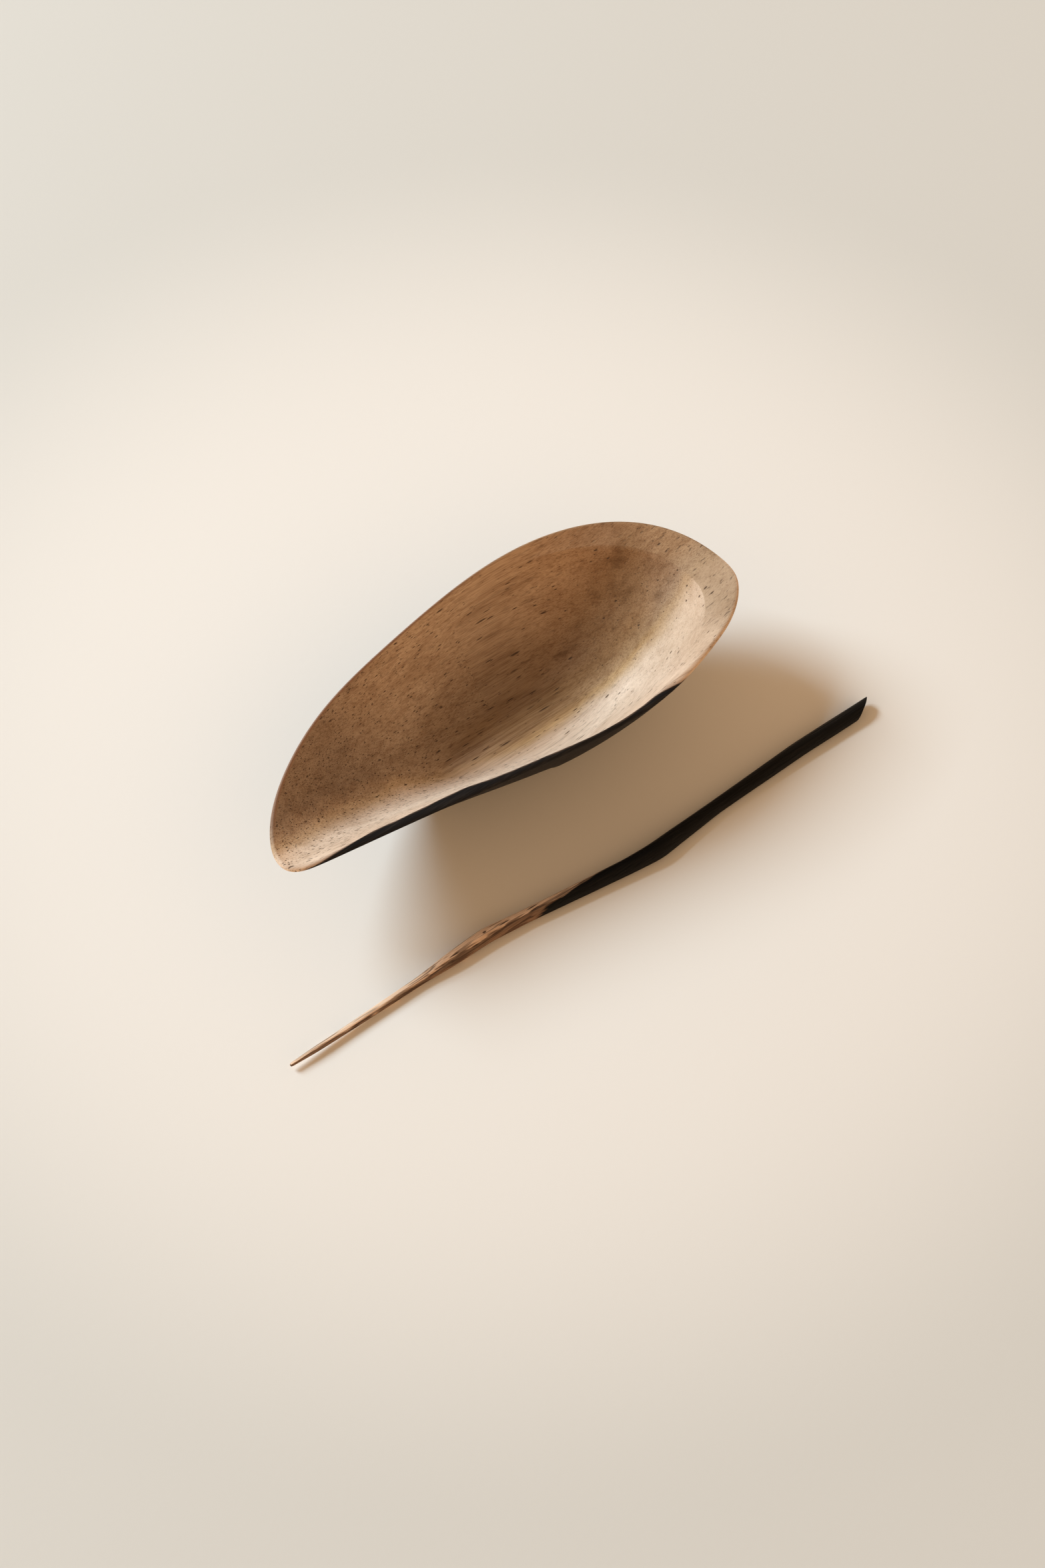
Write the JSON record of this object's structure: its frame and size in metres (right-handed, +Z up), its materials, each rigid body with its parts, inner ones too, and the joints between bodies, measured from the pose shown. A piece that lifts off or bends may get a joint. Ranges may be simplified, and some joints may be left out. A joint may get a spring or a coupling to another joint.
{
  "type": "tea scoop",
  "caption": "Deep, thin-rimmed, boat-shaped scoop carved from wood, with a swept pouring lip for leaf tea, and a slender whittled wooden pick that pushes the leaves.",
  "frame": {"origin": "middle of the flat that the scoop rests on", "axes": "+X along the scoop from its pouring lip to its round back end, +Y away from the pick, +Z up"},
  "size_m": [0.1885, 0.0867, 0.032],
  "materials": {
    "scoop_wood": "satin, oiled",
    "pick_wood": "satin, oiled"
  },
  "bodies": {
    "scoop": {"scoop_bowl": "scoop_wood"},
    "pick": {"tea_pick": "pick_wood"}
  },
  "joints": [
    {"name": "pick_lift", "type": "slide", "parent": "scoop", "child": "pick", "axis": [0, 0, 1], "range_m": [0, 0.06]}
  ]
}
